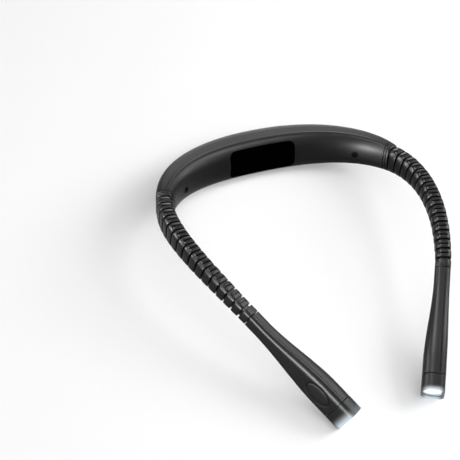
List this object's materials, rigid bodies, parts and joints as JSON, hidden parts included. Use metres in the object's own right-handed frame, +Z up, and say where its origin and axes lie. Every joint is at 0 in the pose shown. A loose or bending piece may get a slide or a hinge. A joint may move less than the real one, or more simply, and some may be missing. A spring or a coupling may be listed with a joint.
{
  "type": "neck reading light",
  "caption": "Rigid curved neck band with a flexible segmented arm at each end, each arm ending in a flared lamp head with a side button.",
  "frame": {"origin": "middle of the bounding box at its lowest face, the plane that the light stands on", "axes": "+X towards the wearer's right arm of the picture, +Y back to the nape, +Z up; symmetric about X = 0 but for the charging inlet"},
  "size_m": [0.1874, 0.2238, 0.0429],
  "materials": {
    "casing": "satin black moulded plastic",
    "segment": "soft-touch black rubber",
    "inlay": "plain black, smooth",
    "button": "black rubber, matt",
    "bezel": "satin black moulded plastic",
    "lens": "clear moulded plastic",
    "reflector": "vacuum-metallised, bright",
    "emitter": "white light-emitting face",
    "board": "green solder mask",
    "switch": "dark moulded plastic",
    "metal": "plated steel",
    "cell": "wrapped pouch cell"
  },
  "bodies": {
    "band": {"band_front_shell": "casing", "band_rear_shell": "casing", "battery_cell": "cell", "casing_screw_left": "metal", "casing_screw_right": "metal", "charge_board": "board", "nape_inlay": "inlay", "neck_socket_left": "casing", "neck_socket_right": "casing", "usb_c_socket": "metal"},
    "left_segment_01": {"left_neck_segment_01": "segment"},
    "left_segment_02": {"left_neck_segment_02": "segment"},
    "left_segment_03": {"left_neck_segment_03": "segment"},
    "left_segment_04": {"left_neck_segment_04": "segment"},
    "left_segment_05": {"left_neck_segment_05": "segment"},
    "left_segment_06": {"left_neck_segment_06": "segment"},
    "left_segment_07": {"left_neck_segment_07": "segment"},
    "left_segment_08": {"left_neck_segment_08": "segment"},
    "left_segment_09": {"left_neck_segment_09": "segment"},
    "left_segment_10": {"left_neck_segment_10": "segment"},
    "left_segment_11": {"left_neck_segment_11": "segment"},
    "left_segment_12": {"left_neck_segment_12": "segment"},
    "left_segment_13": {"left_neck_segment_13": "segment"},
    "left_segment_14": {"left_neck_segment_14": "segment"},
    "left_segment_15": {"left_neck_segment_15": "segment"},
    "left_head": {"left_head_bezel": "bezel", "left_head_button_switch": "switch", "left_head_collar": "casing", "left_head_inner_shell": "casing", "left_head_led_board": "board", "left_head_led_emitter": "emitter", "left_head_lens": "lens", "left_head_outer_shell": "casing", "left_head_reflector": "reflector"},
    "left_button": {"left_head_button": "button"},
    "right_segment_01": {"right_neck_segment_01": "segment"},
    "right_segment_02": {"right_neck_segment_02": "segment"},
    "right_segment_03": {"right_neck_segment_03": "segment"},
    "right_segment_04": {"right_neck_segment_04": "segment"},
    "right_segment_05": {"right_neck_segment_05": "segment"},
    "right_segment_06": {"right_neck_segment_06": "segment"},
    "right_segment_07": {"right_neck_segment_07": "segment"},
    "right_segment_08": {"right_neck_segment_08": "segment"},
    "right_segment_09": {"right_neck_segment_09": "segment"},
    "right_segment_10": {"right_neck_segment_10": "segment"},
    "right_segment_11": {"right_neck_segment_11": "segment"},
    "right_segment_12": {"right_neck_segment_12": "segment"},
    "right_segment_13": {"right_neck_segment_13": "segment"},
    "right_segment_14": {"right_neck_segment_14": "segment"},
    "right_segment_15": {"right_neck_segment_15": "segment"},
    "right_head": {"right_head_bezel": "bezel", "right_head_button_switch": "switch", "right_head_collar": "casing", "right_head_inner_shell": "casing", "right_head_led_board": "board", "right_head_led_emitter": "emitter", "right_head_lens": "lens", "right_head_outer_shell": "casing", "right_head_reflector": "reflector"},
    "right_button": {"right_head_button": "button"}
  },
  "joints": [
    {"name": "left_neck_yaw_1", "type": "hinge", "parent": "band", "child": "left_segment_01", "pos_m": [-0.0836, 0.06058, 0.02562], "axis": [0.0205, -0.3209, -0.9469], "range_deg": [-0.75, 6]},
    {"name": "left_neck_pitch_1", "type": "hinge", "parent": "left_segment_01", "child": "left_segment_02", "pos_m": [-0.08568, 0.05473, 0.02756], "axis": [0.9758, -0.2023, 0.0826], "range_deg": [-5.5, 5.5]},
    {"name": "left_neck_yaw_2", "type": "hinge", "parent": "left_segment_02", "child": "left_segment_03", "pos_m": [-0.08709, 0.04865, 0.02936], "axis": [0.0165, -0.2553, -0.9667], "range_deg": [-0.75, 6]},
    {"name": "left_neck_pitch_2", "type": "hinge", "parent": "left_segment_03", "child": "left_segment_04", "pos_m": [-0.08791, 0.04241, 0.03099], "axis": [0.999, -0.0419, 0.0171], "range_deg": [-5.5, 5.5]},
    {"name": "left_neck_yaw_3", "type": "hinge", "parent": "left_segment_04", "child": "left_segment_05", "pos_m": [-0.0882, 0.03608, 0.03243], "axis": [-0.0054, -0.1899, -0.9818], "range_deg": [-0.75, 6]},
    {"name": "left_neck_pitch_3", "type": "hinge", "parent": "left_segment_05", "child": "left_segment_06", "pos_m": [-0.08802, 0.0297, 0.03367], "axis": [0.9956, 0.0864, -0.0353], "range_deg": [-5.5, 5.5]},
    {"name": "left_neck_yaw_4", "type": "hinge", "parent": "left_segment_06", "child": "left_segment_07", "pos_m": [-0.08743, 0.02331, 0.03468], "axis": [-0.0395, -0.1273, -0.9911], "range_deg": [-0.75, 6]},
    {"name": "left_neck_pitch_4", "type": "hinge", "parent": "left_segment_07", "child": "left_segment_08", "pos_m": [-0.08648, 0.01693, 0.03546], "axis": [0.9788, 0.1898, -0.0775], "range_deg": [-5.5, 5.5]},
    {"name": "left_neck_yaw_5", "type": "hinge", "parent": "left_segment_08", "child": "left_segment_09", "pos_m": [-0.0852, 0.01058, 0.03601], "axis": [-0.0817, -0.0683, -0.9943], "range_deg": [-0.75, 6]},
    {"name": "left_neck_pitch_5", "type": "hinge", "parent": "left_segment_09", "child": "left_segment_10", "pos_m": [-0.08365, 0.00427, 0.03631], "axis": [0.955, 0.2745, -0.1121], "range_deg": [-5.5, 5.5]},
    {"name": "left_neck_yaw_6", "type": "hinge", "parent": "left_segment_10", "child": "left_segment_11", "pos_m": [-0.08185, -0.00197, 0.03637], "axis": [-0.1295, -0.0132, -0.9915], "range_deg": [-0.75, 6]},
    {"name": "left_neck_pitch_6", "type": "hinge", "parent": "left_segment_11", "child": "left_segment_12", "pos_m": [-0.07983, -0.00815, 0.03619], "axis": [0.9278, 0.3455, -0.141], "range_deg": [-5.5, 5.5]},
    {"name": "left_neck_yaw_7", "type": "hinge", "parent": "left_segment_12", "child": "left_segment_13", "pos_m": [-0.07762, -0.01425, 0.03577], "axis": [-0.1813, 0.0379, -0.9827], "range_deg": [-0.75, 6]},
    {"name": "left_neck_pitch_7", "type": "hinge", "parent": "left_segment_13", "child": "left_segment_14", "pos_m": [-0.07525, -0.02026, 0.0351], "axis": [0.8985, 0.4065, -0.1659], "range_deg": [-5.5, 5.5]},
    {"name": "left_neck_yaw_8", "type": "hinge", "parent": "left_segment_14", "child": "left_segment_15", "pos_m": [-0.07274, -0.02619, 0.03419], "axis": [-0.236, 0.0851, -0.968], "range_deg": [-0.75, 6]},
    {"name": "left_neck_pitch_8", "type": "hinge", "parent": "left_segment_15", "child": "left_head", "pos_m": [-0.0701, -0.03202, 0.03303], "axis": [0.8366, 0.5071, -0.207], "range_deg": [-5.5, 5.5]},
    {"name": "left_button_press", "type": "slide", "parent": "left_head", "child": "left_button", "axis": [0.8366, 0.5071, -0.207], "range_m": [0, 0.0006], "stiffness_N_per_m": 600, "springref_m": -0.001},
    {"name": "right_neck_yaw_1", "type": "hinge", "parent": "band", "child": "right_segment_01", "pos_m": [0.0836, 0.06058, 0.02562], "axis": [0.0205, 0.3209, 0.9469], "range_deg": [-0.75, 6]},
    {"name": "right_neck_pitch_1", "type": "hinge", "parent": "right_segment_01", "child": "right_segment_02", "pos_m": [0.08568, 0.05473, 0.02756], "axis": [0.9758, 0.2023, -0.0826], "range_deg": [-5.5, 5.5]},
    {"name": "right_neck_yaw_2", "type": "hinge", "parent": "right_segment_02", "child": "right_segment_03", "pos_m": [0.08709, 0.04865, 0.02936], "axis": [0.0165, 0.2553, 0.9667], "range_deg": [-0.75, 6]},
    {"name": "right_neck_pitch_2", "type": "hinge", "parent": "right_segment_03", "child": "right_segment_04", "pos_m": [0.08791, 0.04241, 0.03099], "axis": [0.999, 0.0419, -0.0171], "range_deg": [-5.5, 5.5]},
    {"name": "right_neck_yaw_3", "type": "hinge", "parent": "right_segment_04", "child": "right_segment_05", "pos_m": [0.0882, 0.03608, 0.03243], "axis": [-0.0054, 0.1899, 0.9818], "range_deg": [-0.75, 6]},
    {"name": "right_neck_pitch_3", "type": "hinge", "parent": "right_segment_05", "child": "right_segment_06", "pos_m": [0.08802, 0.0297, 0.03367], "axis": [0.9956, -0.0864, 0.0353], "range_deg": [-5.5, 5.5]},
    {"name": "right_neck_yaw_4", "type": "hinge", "parent": "right_segment_06", "child": "right_segment_07", "pos_m": [0.08743, 0.02331, 0.03468], "axis": [-0.0395, 0.1273, 0.9911], "range_deg": [-0.75, 6]},
    {"name": "right_neck_pitch_4", "type": "hinge", "parent": "right_segment_07", "child": "right_segment_08", "pos_m": [0.08648, 0.01693, 0.03546], "axis": [0.9788, -0.1898, 0.0775], "range_deg": [-5.5, 5.5]},
    {"name": "right_neck_yaw_5", "type": "hinge", "parent": "right_segment_08", "child": "right_segment_09", "pos_m": [0.0852, 0.01058, 0.03601], "axis": [-0.0817, 0.0683, 0.9943], "range_deg": [-0.75, 6]},
    {"name": "right_neck_pitch_5", "type": "hinge", "parent": "right_segment_09", "child": "right_segment_10", "pos_m": [0.08365, 0.00427, 0.03631], "axis": [0.955, -0.2745, 0.1121], "range_deg": [-5.5, 5.5]},
    {"name": "right_neck_yaw_6", "type": "hinge", "parent": "right_segment_10", "child": "right_segment_11", "pos_m": [0.08185, -0.00197, 0.03637], "axis": [-0.1295, 0.0132, 0.9915], "range_deg": [-0.75, 6]},
    {"name": "right_neck_pitch_6", "type": "hinge", "parent": "right_segment_11", "child": "right_segment_12", "pos_m": [0.07983, -0.00815, 0.03619], "axis": [0.9278, -0.3455, 0.141], "range_deg": [-5.5, 5.5]},
    {"name": "right_neck_yaw_7", "type": "hinge", "parent": "right_segment_12", "child": "right_segment_13", "pos_m": [0.07762, -0.01425, 0.03577], "axis": [-0.1813, -0.0379, 0.9827], "range_deg": [-0.75, 6]},
    {"name": "right_neck_pitch_7", "type": "hinge", "parent": "right_segment_13", "child": "right_segment_14", "pos_m": [0.07525, -0.02026, 0.0351], "axis": [0.8985, -0.4065, 0.1659], "range_deg": [-5.5, 5.5]},
    {"name": "right_neck_yaw_8", "type": "hinge", "parent": "right_segment_14", "child": "right_segment_15", "pos_m": [0.07274, -0.02619, 0.03419], "axis": [-0.236, -0.0851, 0.968], "range_deg": [-0.75, 6]},
    {"name": "right_neck_pitch_8", "type": "hinge", "parent": "right_segment_15", "child": "right_head", "pos_m": [0.0701, -0.03202, 0.03303], "axis": [0.8366, -0.5071, 0.207], "range_deg": [-5.5, 5.5]},
    {"name": "right_button_press", "type": "slide", "parent": "right_head", "child": "right_button", "axis": [-0.8366, 0.5071, -0.207], "range_m": [0, 0.0006], "stiffness_N_per_m": 600, "springref_m": -0.001}
  ],
  "couplings": [
    {"joint": "left_neck_yaw_2", "follows": "left_neck_yaw_1", "ratio": 1},
    {"joint": "left_neck_pitch_2", "follows": "left_neck_pitch_1", "ratio": 1},
    {"joint": "left_neck_yaw_3", "follows": "left_neck_yaw_1", "ratio": 1},
    {"joint": "left_neck_pitch_3", "follows": "left_neck_pitch_1", "ratio": 1},
    {"joint": "left_neck_yaw_4", "follows": "left_neck_yaw_1", "ratio": 1},
    {"joint": "left_neck_pitch_4", "follows": "left_neck_pitch_1", "ratio": 1},
    {"joint": "left_neck_yaw_5", "follows": "left_neck_yaw_1", "ratio": 1},
    {"joint": "left_neck_pitch_5", "follows": "left_neck_pitch_1", "ratio": 1},
    {"joint": "left_neck_yaw_6", "follows": "left_neck_yaw_1", "ratio": 1},
    {"joint": "left_neck_pitch_6", "follows": "left_neck_pitch_1", "ratio": 1},
    {"joint": "left_neck_yaw_7", "follows": "left_neck_yaw_1", "ratio": 1},
    {"joint": "left_neck_pitch_7", "follows": "left_neck_pitch_1", "ratio": 1},
    {"joint": "left_neck_yaw_8", "follows": "left_neck_yaw_1", "ratio": 1},
    {"joint": "left_neck_pitch_8", "follows": "left_neck_pitch_1", "ratio": 1},
    {"joint": "right_neck_yaw_2", "follows": "right_neck_yaw_1", "ratio": 1},
    {"joint": "right_neck_pitch_2", "follows": "right_neck_pitch_1", "ratio": 1},
    {"joint": "right_neck_yaw_3", "follows": "right_neck_yaw_1", "ratio": 1},
    {"joint": "right_neck_pitch_3", "follows": "right_neck_pitch_1", "ratio": 1},
    {"joint": "right_neck_yaw_4", "follows": "right_neck_yaw_1", "ratio": 1},
    {"joint": "right_neck_pitch_4", "follows": "right_neck_pitch_1", "ratio": 1},
    {"joint": "right_neck_yaw_5", "follows": "right_neck_yaw_1", "ratio": 1},
    {"joint": "right_neck_pitch_5", "follows": "right_neck_pitch_1", "ratio": 1},
    {"joint": "right_neck_yaw_6", "follows": "right_neck_yaw_1", "ratio": 1},
    {"joint": "right_neck_pitch_6", "follows": "right_neck_pitch_1", "ratio": 1},
    {"joint": "right_neck_yaw_7", "follows": "right_neck_yaw_1", "ratio": 1},
    {"joint": "right_neck_pitch_7", "follows": "right_neck_pitch_1", "ratio": 1},
    {"joint": "right_neck_yaw_8", "follows": "right_neck_yaw_1", "ratio": 1},
    {"joint": "right_neck_pitch_8", "follows": "right_neck_pitch_1", "ratio": 1}
  ]
}
